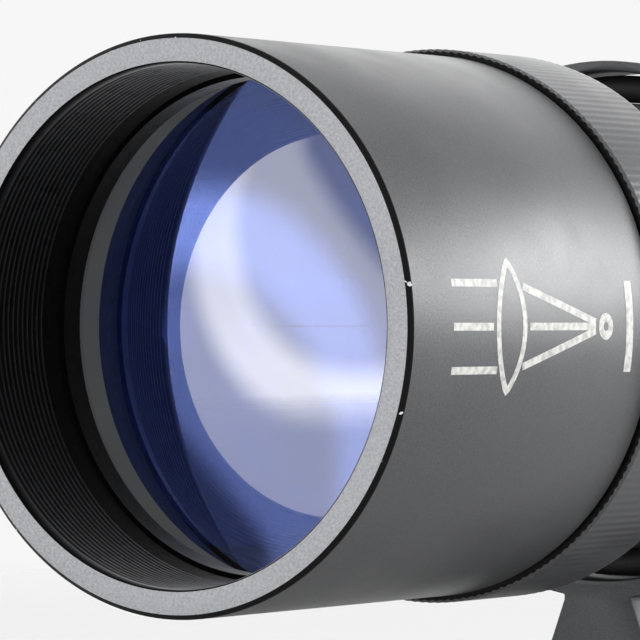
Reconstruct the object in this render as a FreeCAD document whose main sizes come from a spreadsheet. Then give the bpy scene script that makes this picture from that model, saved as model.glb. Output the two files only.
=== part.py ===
"""Guide scope of 50 mm aperture on a finder-type bracket, as separate named pieces.

Frame of the part: millimetres, +Z up, the objective looks along -Y, and the origin is the
centre of the dovetail foot's bottom face.  Round pieces are drawn in a scope frame whose Z is
the optical axis, counted as depth behind the front face, and whose Y points down.
"""
import FreeCAD
import Part
import math
import os
import re
import Sketcher

DIMENSIONS = {
    # optical axis and front barrel
    "axis_height": 52.0,
    "front_to_foot": 107.0,
    "barrel_radius": 28.54,
    "barrel_end": 43.1,
    "face_chamfer": 0.43,
    "face_chamfer_depth": 0.37,
    "edge_break": 0.3,
    "overrun": 1.0,
    "lip_radius": 25.6,
    "filter_thread_first": 1.2,
    "filter_thread_pitch": 0.75,
    "filter_thread_turns": 14,
    "filter_thread_depth": 0.32,
    "relief_front": 12.0,
    "relief_back": 13.4,
    "relief_height": 0.45,
    "seat_depth": 26.8,
    "seat_radius": 24.4,
    "seat_thickness": 2.45,
    "collar_bore": 27.0,
    # lenses, cemented, and the ring that holds them
    "lens_radius": 25.52,
    "lens_edge_depth": 16.75,
    "crown_edge": 2.9,
    "flint_edge": 7.05,
    "front_curve": 104.0,
    "cement_curve": 80.0,
    "back_curve": 450.0,
    "retainer_radius": 25.54,
    "clear_radius": 24.98,
    "retainer_front": 14.0,
    "retainer_back": 16.58,
    "notch_width": 2.0,
    "notch_depth": 1.0,
    # lock ring and main tube
    "running_gap": 0.05,
    "lock_front": 43.4,
    "lock_back": 59.0,
    "lock_radius": 29.29,
    "lock_shoulder": 2.0,
    "collar_front": 30.0,
    "collar_back": 64.0,
    "collar_inner": 24.3,
    "tube_radius": 25.2,
    "tube_inner": 23.6,
    "tube_back": 150.0,
    "baffle_depth": 100.0,
    "baffle_thickness": 1.2,
    "baffle_rim": 5.0,
    "baffle_hole": 17.5,
    # bracket
    "o_ring_depth": 82.0,
    "o_ring_cord": 1.55,
    "o_ring_gap": 0.04,
    "front_ring_front": 77.8,
    "front_ring_width": 8.4,
    "front_ring_radius": 30.25,
    "front_ring_inner": 28.65,
    "ring_drop": 0.45,
    "rear_ring_front": 127.0,
    "rear_ring_width": 10.0,
    "rear_ring_radius": 35.0,
    "rear_ring_inner": 31.0,
    "stalk_top_half": 4.5,
    "stalk_foot_half": 9.3,
    "stalk_overlap": 1.4,
    "foot_top": 8.0,
    "foot_neck_height": 5.4,
    "foot_half": 16.0,
    "foot_neck_half": 13.2,
    "foot_half_length": 30.0,
    "foot_screw_radius": 2.0,
    "foot_screw_head": 3.8,
    "foot_screw_head_height": 2.2,
    "foot_screw_reach": 14.0,
    "screw_clearance": 0.08,
    # adjusting screws, one each side, 45 degrees below the axis
    "boss_radius": 5.0,
    "boss_reach": 37.5,
    "screw_radius": 2.4,
    "screw_inner_end": 28.3,
    "tip_gap": 0.3,
    "knob_start": 40.5,
    "knob_length": 8.0,
    "knob_radius": 5.8,
    "knob_neck": 3.4,
    "knob_neck_length": 1.8,
    # spring plunger on top of the rear ring
    "plunger_pin_radius": 1.8,
    "plunger_pin_gap": 1.5,
    "plunger_collar_radius": 3.1,
    "plunger_collar_start": 34.4,
    "plunger_collar_thickness": 1.5,
    "plunger_bore": 3.2,
    "plunger_body_radius": 4.3,
    "plunger_body_start": 31.8,
    "plunger_floor": 1.2,
    "plunger_body_end": 47.0,
    "plunger_cap": 2.0,
    "plunger_head_radius": 5.6,
    "plunger_head_start": 40.2,
    "spring_wire": 0.3,
    "spring_radius": 2.4,
    "spring_turns": 7,
    # rear cell and helical focuser
    "cell_spigot": 6.0,
    "cell_spigot_radius": 23.55,
    "cell_straight_end": 156.0,
    "cell_end": 162.0,
    "cell_end_radius": 22.6,
    "draw_bore": 17.3,
    "counterbore_depth": 158.0,
    "counterbore_radius": 20.0,
    "focus_ring_end": 174.3,
    "focus_ring_radius": 24.0,
    "focus_ring_gap": 0.3,
    "retainer_groove_front": 159.1,
    "retainer_groove_back": 161.3,
    "retainer_groove_radius": 19.0,
    "retainer_screw_radius": 0.8,
    "retainer_screw_depth": 160.2,
    "retainer_screw_outer": 22.4,
    "retainer_screw_inner": 19.2,
    "draw_radius": 17.25,
    "draw_inner": 14.4,
    "draw_front": 143.0,
    "draw_back": 186.0,
    "guide_screw_depth": 153.0,
    "guide_screw_radius": 1.5,
    "guide_screw_outer": 23.5,
    "guide_screw_inner": 16.0,
    "guide_slot_half": 1.6,
    "guide_slot_front": 146.1,
    "guide_slot_back": 160.0,
    # camera holder
    "holder_front": 180.0,
    "holder_back": 208.0,
    "holder_radius": 21.0,
    "holder_bore": 15.93,
    "holder_step": 186.0,
    "holder_groove_front": 194.0,
    "holder_groove_back": 200.0,
    "holder_groove_radius": 17.0,
    "brass_ring_outer": 16.9,
    "brass_ring_inner": 16.0,
    "brass_ring_front": 194.4,
    "brass_ring_back": 199.6,
    "brass_ring_slit": 1.5,
    "holder_screw_depth": 197.0,
    "holder_screw_radius": 1.95,
    "holder_screw_start": 17.3,
    "holder_knob_start": 22.6,
    "holder_knob_length": 8.0,
    "holder_knob_radius": 4.6,
    "holder_knob_neck": 3.0,
    "holder_knob_neck_length": 1.2,
}

DIMENSION_NAME = re.compile(r"\b(?!sqrt\b)[a-z][a-z_]*")
CIRCLE_DEGREES = 360.0
ADJUSTING_ANGLES = {"left": 135.0, "right": 45.0}
HOLDER_ANGLES = {"left": -135.0, "right": -45.0}
RETAINER_SCREW_ANGLES = (-90.0, 30.0, 150.0)
UP_ANGLE = -90.0
DOWN_ANGLE = 90.0

document = FreeCAD.newDocument("guide_scope")
sheet = document.addObject("Spreadsheet::Sheet", "dims")
subparts = []


def fill_sheet():
    for row, (alias, value) in enumerate(DIMENSIONS.items(), start=1):
        sheet.set(f"A{row}", alias)
        sheet.set(f"B{row}", str(value))
        sheet.setAlias(f"B{row}", alias)
    document.recompute()


def bound(expression):
    """The same expression with each dimension's name pointing at its cell."""
    return DIMENSION_NAME.sub(lambda found: "dims." + found.group(0), expression)


def value_of(expression):
    return float(sheet.evalExpression(bound(expression)))


def scope_placement():
    """Turns the scope frame into the part's frame."""
    place = FreeCAD.Vector(0, -value_of("front_to_foot"), value_of("axis_height"))
    return FreeCAD.Placement(place, FreeCAD.Rotation(FreeCAD.Vector(1, 0, 0), -90))


def radial_placement(angle, depth):
    """A frame on the optical axis at a depth, whose Z points outwards at an angle from +X."""
    outward = FreeCAD.Vector(math.cos(math.radians(angle)), math.sin(math.radians(angle)), 0)
    turn = FreeCAD.Rotation(FreeCAD.Vector(0, 0, 1), outward)
    return FreeCAD.Placement(FreeCAD.Vector(0, 0, value_of(depth)), turn)


def new_body(label, placement=None):
    body = document.addObject("PartDesign::Body", label)
    body.Label = label
    body.Placement = placement or scope_placement()
    subparts.append(body)
    return body


def origin_feature(body, role):
    return next(item for item in body.Origin.OriginFeatures if item.Role == role)


def new_sketch(body, name, role):
    sketch = body.newObject("Sketcher::SketchObject", name)
    sketch.AttachmentSupport = (origin_feature(body, role), [""])
    sketch.MapMode = "FlatFace"
    return sketch


def pin_point(sketch, line, corner):
    """Binds the first end of a line to its two coordinates."""
    for kind, axis, expression in (("DistanceX", -2, corner[0]), ("DistanceY", -1, corner[1])):
        if expression == "0":
            sketch.addConstraint(Sketcher.Constraint("PointOnObject", line, 1, axis))
            continue
        number = sketch.addConstraint(
            Sketcher.Constraint(kind, -1, 1, line, 1, value_of(expression)))
        sketch.setExpression(f"Constraints[{number}]", bound(expression))


def add_polygon(sketch, corners):
    """A closed outline of straight lines through corners given as expressions."""
    points = [FreeCAD.Vector(value_of(x), value_of(y), 0) for x, y in corners]
    lines = [sketch.addGeometry(Part.LineSegment(point, points[(i + 1) % len(points)]))
             for i, point in enumerate(points)]
    for i, line in enumerate(lines):
        following = lines[(i + 1) % len(lines)]
        sketch.addConstraint(Sketcher.Constraint("Coincident", line, 2, following, 1))
        pin_point(sketch, line, corners[i])


def add_circle(sketch, radius, drop="0"):
    """A circle bound to its radius, with its centre a drop below the optical axis."""
    centre = FreeCAD.Vector(0, value_of(drop), 0)
    circle = sketch.addGeometry(Part.Circle(centre, FreeCAD.Vector(0, 0, 1), value_of(radius)))
    number = sketch.addConstraint(Sketcher.Constraint("Radius", circle, value_of(radius)))
    sketch.setExpression(f"Constraints[{number}]", bound(radius))
    if drop == "0":
        sketch.addConstraint(Sketcher.Constraint("Coincident", circle, 3, -1, 1))
        return
    sketch.addConstraint(Sketcher.Constraint("PointOnObject", circle, 3, -2))
    number = sketch.addConstraint(Sketcher.Constraint("DistanceY", -1, 1, circle, 3, value_of(drop)))
    sketch.setExpression(f"Constraints[{number}]", bound(drop))


def revolve(body, corners, name="turned"):
    """Turns an outline of (radius, depth) corners about the body's Z axis."""
    sketch = new_sketch(body, f"{body.Name}_{name}_sketch", "XZ_Plane")
    add_polygon(sketch, corners)
    feature = body.newObject("PartDesign::Revolution", f"{body.Name}_{name}")
    feature.Profile = sketch
    feature.ReferenceAxis = (sketch, ["V_Axis"])
    feature.Angle = CIRCLE_DEGREES
    return feature


def turned_body(label, corners, placement=None):
    body = new_body(label, placement)
    revolve(body, corners)
    return body


def lift(sketch, depth):
    """Moves a sketch of the XY plane to a depth along the axis."""
    sketch.AttachmentOffset = FreeCAD.Placement(FreeCAD.Vector(0, 0, value_of(depth)),
                                                FreeCAD.Rotation())
    sketch.setExpression("AttachmentOffset.Base.z", bound(depth))


def pad(body, sketch, length, name):
    feature = body.newObject("PartDesign::Pad", f"{body.Name}_{name}")
    feature.Profile = sketch
    feature.setExpression("Length", bound(length))
    return feature


def cut_cylinder(body, name, radius, start, end, placement):
    """Drills a round hole between two distances along a placement's Z."""
    hole = body.newObject("PartDesign::SubtractiveCylinder", f"{body.Name}_{name}")
    set_cylinder(hole, radius, start, end, placement)
    return hole


def add_cylinder(body, name, radius, start, end, placement):
    boss = body.newObject("PartDesign::AdditiveCylinder", f"{body.Name}_{name}")
    set_cylinder(boss, radius, start, end, placement)
    return boss


def set_cylinder(feature, radius, start, end, placement):
    offset = FreeCAD.Placement(FreeCAD.Vector(0, 0, value_of(start)), FreeCAD.Rotation())
    feature.setExpression("Radius", bound(radius))
    feature.setExpression("Height", bound(f"{end} - ({start})"))
    feature.Placement = placement.multiply(offset)


def cut_box(body, name, corner, size, turn=0.0):
    """Cuts a box with its low corner in the scope frame, turned about the optical axis."""
    box = body.newObject("PartDesign::SubtractiveBox", f"{body.Name}_{name}")
    for key, expression in zip(("Length", "Width", "Height"), size):
        box.setExpression(key, bound(expression))
    low = FreeCAD.Vector(*[value_of(expression) for expression in corner])
    spin = FreeCAD.Placement(FreeCAD.Vector(), FreeCAD.Rotation(FreeCAD.Vector(0, 0, 1), turn))
    box.Placement = spin.multiply(FreeCAD.Placement(low, FreeCAD.Rotation()))
    return box


# ---------------------------------------------------------------- front barrel and lenses

def make_front_barrel():
    body = turned_body("front_barrel", [
        ("lip_radius", "0"),
        ("barrel_radius - face_chamfer", "0"),
        ("barrel_radius", "face_chamfer_depth"),
        ("barrel_radius", "barrel_end - edge_break"),
        ("barrel_radius - edge_break", "barrel_end"),
        ("collar_bore", "barrel_end"),
        ("collar_bore", "seat_depth + seat_thickness"),
        ("seat_radius", "seat_depth + seat_thickness"),
        ("seat_radius", "seat_depth"),
        ("lip_radius", "seat_depth"),
        ("lip_radius", "relief_back"),
        ("lip_radius + relief_height", "relief_back"),
        ("lip_radius + relief_height", "relief_front"),
        ("lip_radius", "relief_front")])
    sketch = new_sketch(body, "filter_thread_sketch", "XZ_Plane")
    add_polygon(sketch, [
        ("lip_radius - filter_thread_depth", "filter_thread_first"),
        ("lip_radius + filter_thread_depth", "filter_thread_first + filter_thread_pitch / 2"),
        ("lip_radius - filter_thread_depth", "filter_thread_first + filter_thread_pitch")])
    groove = body.newObject("PartDesign::Groove", "filter_thread_groove")
    groove.Profile = sketch
    groove.ReferenceAxis = (sketch, ["V_Axis"])
    groove.Angle = CIRCLE_DEGREES
    pattern = body.newObject("PartDesign::LinearPattern", "filter_thread")
    pattern.Originals = [groove]
    pattern.Direction = (origin_feature(body, "Z_Axis"), [""])
    pattern.setExpression("Length", bound("filter_thread_pitch * (filter_thread_turns - 1)"))
    pattern.setExpression("Occurrences", bound("filter_thread_turns"))
    body.Tip = pattern


def make_lens_retaining_ring():
    body = turned_body("lens_retaining_ring", [
        ("clear_radius", "retainer_front"),
        ("retainer_radius", "retainer_front"),
        ("retainer_radius", "retainer_back"),
        ("clear_radius", "retainer_back")])
    cut_box(body, "notches", ("-notch_width / 2", "-lens_radius - notch_width", "retainer_front"),
            ("notch_width", "(lens_radius + notch_width) * 2", "notch_depth"))


def part_primitive(kind, name, **sizes):
    shape = document.addObject(kind, name)
    for key, expression in sizes.items():
        shape.setExpression(key, bound(expression))
    return shape


def ball(name, radius, centre):
    """A sphere on the axis, which gives a lens face its curve."""
    sphere = part_primitive("Part::Sphere", name, Radius=radius)
    sphere.setExpression("Placement.Base.z", bound(centre))
    return sphere


def make_lenses():
    """Both glasses are one cylinder each, bounded by the spheres of their faces."""
    cement_edge = "lens_edge_depth + crown_edge"
    back_edge = "lens_edge_depth + crown_edge + flint_edge"
    front_centre = "lens_edge_depth + sqrt(front_curve ^ 2 - lens_radius ^ 2)"
    cement_centre = f"{cement_edge} - sqrt(cement_curve ^ 2 - lens_radius ^ 2)"
    back_centre = f"{back_edge} - sqrt(back_curve ^ 2 - lens_radius ^ 2)"

    def blank(name, start):
        cylinder = part_primitive("Part::Cylinder", name, Radius="lens_radius",
                                  Height="crown_edge + flint_edge + lens_radius")
        cylinder.setExpression("Placement.Base.z", bound(start))
        return cylinder

    crown = document.addObject("Part::MultiCommon", "crown_lens")
    crown.Shapes = [blank("crown_blank", "lens_edge_depth - lens_radius / 4"),
                    ball("crown_front", "front_curve", front_centre),
                    ball("crown_back", "cement_curve", cement_centre)]
    thick = document.addObject("Part::MultiCommon", "flint_blank_curved")
    thick.Shapes = [blank("flint_blank", "lens_edge_depth + crown_edge"),
                    ball("flint_back", "back_curve", back_centre)]
    flint = document.addObject("Part::Cut", "flint_lens")
    flint.Base = thick
    flint.Tool = ball("flint_front", "cement_curve", cement_centre)
    for lens in (crown, flint):
        lens.Label = lens.Name
        lens.Placement = scope_placement()
        subparts.append(lens)


# ---------------------------------------------------------------- tube

def make_lock_ring():
    turned_body("lock_ring", [
        ("collar_bore", "lock_front"),
        ("lock_radius - edge_break", "lock_front"),
        ("lock_radius", "lock_front + edge_break"),
        ("lock_radius", "lock_back - lock_shoulder"),
        ("lock_radius - lock_shoulder / 4", "lock_back - lock_shoulder / 4"),
        ("lock_radius - lock_shoulder / 2", "lock_back"),
        ("collar_bore", "lock_back")])


def make_main_tube():
    turned_body("main_tube", [
        ("collar_inner", "collar_front"),
        ("collar_bore - running_gap", "collar_front"),
        ("collar_bore - running_gap", "collar_back"),
        ("tube_radius", "collar_back"),
        ("tube_radius", "tube_back"),
        ("tube_inner", "tube_back"),
        ("tube_inner", "collar_back"),
        ("collar_inner", "collar_back - 2 * seat_thickness")])


def make_tube_baffle():
    turned_body("tube_baffle", [
        ("baffle_hole", "baffle_depth"),
        ("tube_inner - running_gap - baffle_thickness", "baffle_depth"),
        ("tube_inner - running_gap - baffle_thickness", "baffle_depth - baffle_rim"),
        ("tube_inner - running_gap", "baffle_depth - baffle_rim"),
        ("tube_inner - running_gap", "baffle_depth + baffle_thickness"),
        ("baffle_hole", "baffle_depth + baffle_thickness")])


def make_o_ring():
    ring = part_primitive("Part::Torus", "tube_o_ring", Radius2="o_ring_cord",
                          Radius1="tube_radius + o_ring_gap + o_ring_cord")
    ring.Label = ring.Name
    ring.Placement = scope_placement().multiply(
        FreeCAD.Placement(FreeCAD.Vector(0, 0, value_of("o_ring_depth")), FreeCAD.Rotation()))
    subparts.append(ring)


# ---------------------------------------------------------------- bracket

def ring_with_stalk(label, front, width, radius, inner, drop):
    """A ring round the tube with the stalk that carries it on the foot."""
    body = new_body(label)
    rim = new_sketch(body, f"{label}_rim_sketch", "XY_Plane")
    add_circle(rim, radius, drop)
    lift(rim, front)
    pad(body, rim, width, "rim")
    web = new_sketch(body, f"{label}_stalk_sketch", "XY_Plane")
    top = f"({inner} + {radius}) / 2"
    add_polygon(web, [
        ("-stalk_top_half", top),
        ("stalk_top_half", top),
        ("stalk_top_half", f"{radius} + stalk_overlap / 2"),
        ("stalk_foot_half", "axis_height - foot_top"),
        ("-stalk_foot_half", "axis_height - foot_top"),
        ("-stalk_top_half", f"{radius} + stalk_overlap / 2")])
    lift(web, front)
    pad(body, web, width, "stalk")
    along = FreeCAD.Placement()
    cut_cylinder(body, "tube_passage", inner, f"{front} - overrun",
                 f"{front} + {width} + overrun", along)
    middle = f"{front} + {width} / 2"
    cut_cylinder(body, "foot_screw_hole", "foot_screw_radius + screw_clearance",
                 "axis_height - foot_screw_reach - overrun", "axis_height",
                 radial_placement(DOWN_ANGLE, middle))
    return body


def make_front_ring():
    ring_with_stalk("front_ring", "front_ring_front", "front_ring_width", "front_ring_radius",
                    "front_ring_inner", "ring_drop")


def make_rear_ring():
    body = ring_with_stalk("rear_ring", "rear_ring_front", "rear_ring_width",
                           "rear_ring_radius", "rear_ring_inner", "0")
    middle = "rear_ring_front + rear_ring_width / 2"
    for side, angle in ADJUSTING_ANGLES.items():
        add_cylinder(body, f"{side}_boss", "boss_radius", "rear_ring_inner + overrun", "boss_reach",
                     radial_placement(angle, middle))
    add_cylinder(body, "top_boss", "boss_radius + overrun", "rear_ring_inner + overrun", "boss_reach",
                 radial_placement(UP_ANGLE, middle))
    for side, angle in ADJUSTING_ANGLES.items():
        cut_cylinder(body, f"{side}_screw_hole", "screw_radius + running_gap",
                     "tube_radius", "boss_reach + overrun", radial_placement(angle, middle))
    cut_cylinder(body, "plunger_hole", "plunger_body_radius + screw_clearance",
                 "tube_radius", "boss_reach + overrun", radial_placement(UP_ANGLE, middle))


def foot_frame():
    """Stands a body of the foot on the part's origin, with its Z along the optical axis."""
    return FreeCAD.Placement(FreeCAD.Vector(0, 0, 0),
                             FreeCAD.Rotation(FreeCAD.Vector(1, 0, 0), 90))


def foot_screw_depths():
    return ("front_ring_front + front_ring_width / 2", "rear_ring_front + rear_ring_width / 2")


def make_dovetail_foot():
    body = new_body("dovetail_foot", foot_frame())
    sketch = new_sketch(body, "foot_sketch", "XY_Plane")
    add_polygon(sketch, [
        ("-foot_half", "0"),
        ("foot_half", "0"),
        ("foot_neck_half", "foot_neck_height"),
        ("foot_half", "foot_neck_height"),
        ("foot_half", "foot_top"),
        ("-foot_half", "foot_top"),
        ("-foot_half", "foot_neck_height"),
        ("-foot_neck_half", "foot_neck_height")])
    lift(sketch, "-foot_half_length")
    pad(body, sketch, "2 * foot_half_length", "slab")
    for end, depth in zip(("front", "rear"), foot_screw_depths()):
        place = FreeCAD.Placement(
            FreeCAD.Vector(0, 0, value_of(f"front_to_foot - ({depth})")),
            FreeCAD.Rotation(FreeCAD.Vector(1, 0, 0), -90))
        cut_cylinder(body, f"{end}_screw_hole", "foot_screw_radius + screw_clearance",
                     "-overrun", "foot_top + overrun", place)
        cut_cylinder(body, f"{end}_head_recess", "foot_screw_head + screw_clearance",
                     "-1", "foot_screw_head_height + edge_break", place)


def make_foot_screws():
    """Two cap screws up through the foot, one into each stalk."""
    screws = []
    for end, depth in zip(("front", "rear"), foot_screw_depths()):
        shank = part_primitive("Part::Cylinder", f"{end}_foot_shank", Radius="foot_screw_radius",
                               Height="foot_screw_reach - edge_break")
        head = part_primitive("Part::Cylinder", f"{end}_foot_head", Radius="foot_screw_head",
                              Height="foot_screw_head_height")
        socket = part_primitive("Part::Prism", f"{end}_foot_socket",
                                Circumradius="foot_screw_radius - edge_break",
                                Height="foot_screw_head_height - edge_break")
        for piece in (shank, head):
            piece.setExpression("Placement.Base.z", bound("edge_break"))
        whole = document.addObject("Part::Fuse", f"{end}_foot_whole")
        whole.Base = shank
        whole.Tool = head
        screw = document.addObject("Part::Cut", f"{end}_foot_screw")
        screw.Base = whole
        screw.Tool = socket
        screw.Placement = FreeCAD.Placement(
            FreeCAD.Vector(0, value_of(f"{depth} - front_to_foot"), 0), FreeCAD.Rotation())
        screws.append(screw)
    group = document.addObject("Part::Compound", "foot_screws")
    group.Label = "foot_screws"
    group.Links = screws
    subparts.append(group)


def make_adjusting_screws():
    middle = "rear_ring_front + rear_ring_width / 2"
    for side, angle in ADJUSTING_ANGLES.items():
        place = scope_placement().multiply(radial_placement(angle, middle))
        turned_body(f"{side}_screw_tip", [
            ("0", "tube_radius + tip_gap"),
            ("screw_radius - 2 * edge_break", "tube_radius + tip_gap"),
            ("screw_radius - edge_break", "tube_radius + tip_gap + edge_break"),
            ("screw_radius - edge_break", "screw_inner_end - edge_break / 2"),
            ("0", "screw_inner_end - edge_break / 2")], place)
        turned_body(f"{side}_adjusting_screw", [
            ("0", "screw_inner_end"),
            ("screw_radius - edge_break", "screw_inner_end"),
            ("screw_radius", "screw_inner_end + edge_break"),
            ("screw_radius", "knob_start"),
            ("knob_neck", "knob_start"),
            ("knob_neck", "knob_start + knob_neck_length"),
            ("knob_radius - edge_break", "knob_start + knob_neck_length"),
            ("knob_radius", "knob_start + knob_neck_length + edge_break"),
            ("knob_radius", "knob_start + knob_length - edge_break"),
            ("knob_radius - edge_break", "knob_start + knob_length"),
            ("0", "knob_start + knob_length")], place)


def plunger_placement():
    middle = "rear_ring_front + rear_ring_width / 2"
    return scope_placement().multiply(radial_placement(UP_ANGLE, middle))


def make_plunger():
    turned_body("plunger_housing", [
        ("plunger_pin_radius + running_gap", "plunger_body_start"),
        ("plunger_body_radius", "plunger_body_start"),
        ("plunger_body_radius", "plunger_head_start"),
        ("plunger_head_radius", "plunger_head_start"),
        ("plunger_head_radius", "plunger_body_end"),
        ("0", "plunger_body_end"),
        ("0", "plunger_body_end - plunger_cap"),
        ("plunger_bore", "plunger_body_end - plunger_cap"),
        ("plunger_bore", "plunger_body_start + plunger_floor"),
        ("plunger_pin_radius + running_gap", "plunger_body_start + plunger_floor")],
        plunger_placement())
    turned_body("plunger_pin", [
        ("0", "tube_radius + plunger_pin_gap"),
        ("plunger_pin_radius - edge_break", "tube_radius + plunger_pin_gap"),
        ("plunger_pin_radius", "tube_radius + plunger_pin_gap + edge_break"),
        ("plunger_pin_radius", "plunger_collar_start"),
        ("plunger_collar_radius", "plunger_collar_start"),
        ("plunger_collar_radius", "plunger_collar_start + plunger_collar_thickness"),
        ("plunger_pin_radius", "plunger_collar_start + plunger_collar_thickness"),
        ("plunger_pin_radius", "plunger_collar_start + 3 * plunger_collar_thickness"),
        ("0", "plunger_collar_start + 3 * plunger_collar_thickness")],
        plunger_placement())


def make_plunger_spring():
    """A coil between the pin's collar and the housing's closed end."""
    gap = 0.5 * value_of("edge_break")
    start = value_of("plunger_collar_start + plunger_collar_thickness + spring_wire") + gap
    end = value_of("plunger_body_end - plunger_cap - spring_wire") - gap
    radius = value_of("spring_radius")
    pitch = (end - start) / value_of("spring_turns")
    helix = Part.makeHelix(pitch, end - start, radius)
    section = Part.Wire(Part.makeCircle(value_of("spring_wire"), FreeCAD.Vector(radius, 0, 0),
                                        FreeCAD.Vector(0, 1, 0)))
    coil = Part.Wire(helix).makePipeShell([section], True, True)
    spring = document.addObject("Part::Feature", "plunger_spring")
    spring.Label = "plunger_spring"
    spring.Shape = coil
    lifted = FreeCAD.Placement(FreeCAD.Vector(0, 0, start), FreeCAD.Rotation())
    spring.Placement = plunger_placement().multiply(lifted)
    subparts.append(spring)


# ---------------------------------------------------------------- rear cell and focuser

def make_rear_cell():
    body = turned_body("rear_cell", [
        ("draw_bore", "tube_back - cell_spigot"),
        ("cell_spigot_radius", "tube_back - cell_spigot"),
        ("cell_spigot_radius", "tube_back"),
        ("tube_radius", "tube_back"),
        ("tube_radius", "cell_straight_end"),
        ("cell_end_radius", "cell_end"),
        ("counterbore_radius", "cell_end"),
        ("counterbore_radius", "counterbore_depth"),
        ("draw_bore", "counterbore_depth")])
    cut_cylinder(body, "guide_screw_hole", "guide_screw_radius + screw_clearance",
                 "guide_screw_inner - overrun", "tube_radius + overrun",
                 radial_placement(DOWN_ANGLE, "guide_screw_depth"))
    for number, angle in enumerate(RETAINER_SCREW_ANGLES, start=1):
        cut_cylinder(body, f"retainer_screw_hole_{number}",
                     "retainer_screw_radius + screw_clearance", "retainer_screw_inner",
                     "tube_radius + overrun", radial_placement(angle, "retainer_screw_depth"))


def make_guide_screw():
    """The dog-point screw whose tip keeps the draw tube from turning."""
    turned_body("guide_screw", [
        ("0", "guide_screw_inner"),
        ("guide_screw_radius", "guide_screw_inner"),
        ("guide_screw_radius", "guide_screw_outer"),
        ("0", "guide_screw_outer")],
        scope_placement().multiply(
            radial_placement(DOWN_ANGLE, "guide_screw_depth")))


def make_ring_retainer_screws():
    """Three grub screws that run in the focus ring's groove."""
    screws = []
    for number, angle in enumerate(RETAINER_SCREW_ANGLES, start=1):
        screw = part_primitive("Part::Cylinder", f"retainer_screw_{number}",
                               Radius="retainer_screw_radius",
                               Height="retainer_screw_outer - retainer_screw_inner")
        start = FreeCAD.Placement(FreeCAD.Vector(0, 0, value_of("retainer_screw_inner")),
                                  FreeCAD.Rotation())
        screw.Placement = scope_placement().multiply(
            radial_placement(angle, "retainer_screw_depth")).multiply(start)
        screws.append(screw)
    group = document.addObject("Part::Compound", "ring_retainer_screws")
    group.Label = "ring_retainer_screws"
    group.Links = screws
    subparts.append(group)


def make_focus_ring():
    turned_body("focus_ring", [
        ("draw_bore", "counterbore_depth + focus_ring_gap"),
        ("counterbore_radius - running_gap", "counterbore_depth + focus_ring_gap"),
        ("counterbore_radius - running_gap", "retainer_groove_front"),
        ("retainer_groove_radius", "retainer_groove_front"),
        ("retainer_groove_radius", "retainer_groove_back"),
        ("counterbore_radius - running_gap", "retainer_groove_back"),
        ("counterbore_radius - running_gap", "cell_end + focus_ring_gap"),
        ("focus_ring_radius - edge_break", "cell_end + focus_ring_gap"),
        ("focus_ring_radius", "cell_end + focus_ring_gap + edge_break"),
        ("focus_ring_radius", "focus_ring_end - 2 * edge_break"),
        ("focus_ring_radius - 2 * edge_break", "focus_ring_end"),
        ("draw_bore", "focus_ring_end")])


def make_draw_tube():
    body = turned_body("draw_tube", [
        ("draw_inner", "draw_front"),
        ("draw_radius", "draw_front"),
        ("draw_radius", "draw_back"),
        ("draw_inner", "draw_back")])
    cut_box(body, "guide_slot", ("-guide_slot_half", "draw_inner - overrun", "guide_slot_front"),
            ("2 * guide_slot_half", "draw_radius - draw_inner + 2 * overrun",
             "guide_slot_back - guide_slot_front"))


def make_camera_holder():
    body = turned_body("camera_holder", [
        ("draw_bore", "holder_front"),
        ("holder_radius - 4 * edge_break", "holder_front"),
        ("holder_radius", "holder_front + 4 * edge_break"),
        ("holder_radius", "holder_back - edge_break"),
        ("holder_radius - edge_break", "holder_back"),
        ("holder_bore", "holder_back"),
        ("holder_bore", "holder_groove_back"),
        ("holder_groove_radius", "holder_groove_back"),
        ("holder_groove_radius", "holder_groove_front"),
        ("holder_bore", "holder_groove_front"),
        ("holder_bore", "holder_step"),
        ("draw_bore", "holder_step")])
    for side, angle in HOLDER_ANGLES.items():
        cut_cylinder(body, f"{side}_screw_hole", "holder_screw_radius + running_gap",
                     "holder_bore", "holder_radius + overrun",
                     radial_placement(angle, "holder_screw_depth"))


def make_compression_ring():
    body = turned_body("compression_ring", [
        ("brass_ring_inner", "brass_ring_front"),
        ("brass_ring_outer", "brass_ring_front"),
        ("brass_ring_outer", "brass_ring_back"),
        ("brass_ring_inner", "brass_ring_back")])
    cut_box(body, "slit",
            ("-brass_ring_slit / 2", "brass_ring_inner - overrun", "brass_ring_front - overrun"),
            ("brass_ring_slit", "3 * overrun", "brass_ring_back - brass_ring_front + 2 * overrun"))


def make_holder_screws():
    """Each thumbscrew is a threaded shank pressed into a knurled knob."""
    for side, angle in HOLDER_ANGLES.items():
        place = scope_placement().multiply(radial_placement(angle, "holder_screw_depth"))
        turned_body(f"{side}_holder_screw_shank", [
            ("0", "holder_screw_start"),
            ("holder_screw_radius - edge_break", "holder_screw_start"),
            ("holder_screw_radius", "holder_screw_start + edge_break"),
            ("holder_screw_radius", "holder_knob_start + holder_knob_length / 2"),
            ("0", "holder_knob_start + holder_knob_length / 2")], place)
        socket = "holder_screw_radius + running_gap"
        turned_body(f"{side}_holder_screw_knob", [
            (socket, "holder_knob_start"),
            ("holder_knob_neck", "holder_knob_start"),
            ("holder_knob_neck", "holder_knob_start + holder_knob_neck_length"),
            ("holder_knob_radius", "holder_knob_start + holder_knob_neck_length"),
            ("holder_knob_radius", "holder_knob_start + holder_knob_length - edge_break"),
            ("holder_knob_radius - edge_break", "holder_knob_start + holder_knob_length"),
            ("0", "holder_knob_start + holder_knob_length"),
            ("0", "holder_knob_start + holder_knob_length / 2 + edge_break"),
            (socket, "holder_knob_start + holder_knob_length / 2 + edge_break")], place)


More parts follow.
